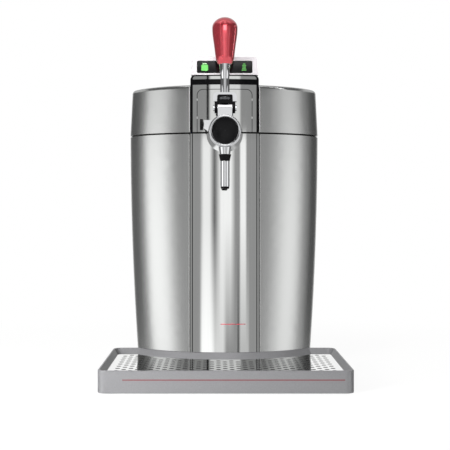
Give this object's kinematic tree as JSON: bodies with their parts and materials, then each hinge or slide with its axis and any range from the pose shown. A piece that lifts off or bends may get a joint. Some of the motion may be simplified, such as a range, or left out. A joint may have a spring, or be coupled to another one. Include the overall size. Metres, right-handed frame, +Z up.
{
  "type": "mini keg beer dispenser",
  "caption": "Countertop cooler for a small beer keg, with a hinged lid that carries a lever tap, a lit display and a removable drip tray.",
  "frame": {"origin": "on the table, under the middle of the whole footprint", "axes": "+Z up, the tap faces -Y, +X is to the right of someone facing the tap"},
  "size_m": [0.3086, 0.469, 0.4734],
  "materials": {
    "satin_steel": "satin brushed stainless sheet, vertical grain",
    "polished_steel": "polished stainless sheet",
    "black_plastic": "moulded black ABS, fine texture",
    "rubber": "black rubber, matte",
    "zinc_steel": "zinc-plated steel",
    "aluminium": "drawn and extruded aluminium",
    "foam": "rigid polyurethane foam",
    "ceramic": "white ceramic plates",
    "circuit_board": "green solder mask",
    "white_plastic": "moulded food-safe plastic",
    "display_silver": "silver-grey lacquered housing",
    "window_black": "black tinted acrylic, gloss",
    "lamp_green": "green lit lamp window",
    "chrome": "bright chrome plate",
    "medallion_black": "black enamel disc, gloss",
    "silicone": "food-grade silicone",
    "grip_red": "metallic red lacquer, clear coated",
    "tray_silver": "satin silver lacquer with a red pinstripe",
    "grid_steel": "polished perforated stainless sheet"
  },
  "bodies": {
    "cabinet": {"body_shell": "satin_steel", "base_plate": "black_plastic", "rubber_feet": "rubber", "base_screws": "zinc_steel", "top_rim": "black_plastic", "keg_well": "aluminium", "insulation": "foam", "bulkhead": "black_plastic", "front_panel": "polished_steel", "panel_trim": "polished_steel", "panel_seals": "black_plastic", "cold_block": "aluminium", "peltier_module": "ceramic", "heat_sink": "aluminium", "fan_frame": "black_plastic", "power_board": "circuit_board", "board_standoffs": "white_plastic", "rear_cover": "black_plastic", "rear_screws": "zinc_steel", "mains_inlet": "black_plastic", "switch_housing": "black_plastic", "body_hinge_leaves": "zinc_steel", "hinge_pins": "zinc_steel"},
    "lid": {"lid_hinge_leaves": "zinc_steel", "lid_shell": "satin_steel", "lid_liner": "white_plastic", "lid_foam": "foam", "lid_gasket": "rubber", "keg_coupler": "white_plastic", "head_shell": "black_plastic", "head_face": "polished_steel", "tap_plate": "polished_steel", "plate_clips": "polished_steel", "display_housing": "display_silver", "display_window": "window_black", "keg_lamp": "lamp_green", "temperature_lamp": "lamp_green", "display_board": "circuit_board", "tap_barrel": "chrome", "tap_ring": "chrome", "tap_medallion": "medallion_black", "spout_cone": "chrome", "spout_collar": "black_plastic", "spout_tube": "chrome", "spout_tip": "black_plastic", "beer_line": "silicone"},
    "lever": {"lever_yoke": "chrome", "lever_fork": "black_plastic", "cam_pin": "zinc_steel", "lever_rod": "chrome", "lever_nut": "chrome", "lever_ferrule": "chrome", "lever_grip": "grip_red"},
    "plunger": {"pinch_plunger": "white_plastic"},
    "flow_control": {"flow_knob": "black_plastic"},
    "fan": {"fan_rotor": "black_plastic"},
    "switch": {"switch_rocker": "black_plastic"},
    "tray": {"drip_tray": "tray_silver", "tray_pads": "rubber"},
    "grid": {"drip_grid": "grid_steel"}
  },
  "joints": [
    {"name": "lid_hinge", "type": "hinge", "parent": "cabinet", "child": "lid", "pos_m": [0, 0.2285, 0.3247], "axis": [-1, 0, 0], "range_deg": [0, 80]},
    {"name": "lever_pull", "type": "hinge", "parent": "lid", "child": "lever", "pos_m": [0, -0.1225, 0.3543], "axis": [1, 0, 0], "range_deg": [0, 60]},
    {"name": "plunger_lift", "type": "slide", "parent": "lid", "child": "plunger", "axis": [0, 0, 1], "range_m": [0, 0.0012]},
    {"name": "flow_turn", "type": "hinge", "parent": "lid", "child": "flow_control", "pos_m": [-0.03, -0.1205, 0.3327], "axis": [-1, 0, 0], "range_deg": [0, 90]},
    {"name": "fan_spin", "type": "hinge", "parent": "cabinet", "child": "fan", "pos_m": [0, 0.2, 0.196], "axis": [0, 1, 0], "continuous": true},
    {"name": "switch_rock", "type": "hinge", "parent": "cabinet", "child": "switch", "pos_m": [0.058, 0.229, 0.058], "axis": [-1, 0, 0], "range_deg": [0, 12]},
    {"name": "tray_out", "type": "slide", "parent": "cabinet", "child": "tray", "axis": [0, -1, 0], "range_m": [0, 0.12]},
    {"name": "grid_lift", "type": "slide", "parent": "tray", "child": "grid", "axis": [0, 0, 1], "range_m": [0, 0.06]}
  ],
  "couplings": [
    {"joint": "plunger_lift", "follows": "lever_pull", "m_per_rad": 0.001145}
  ]
}
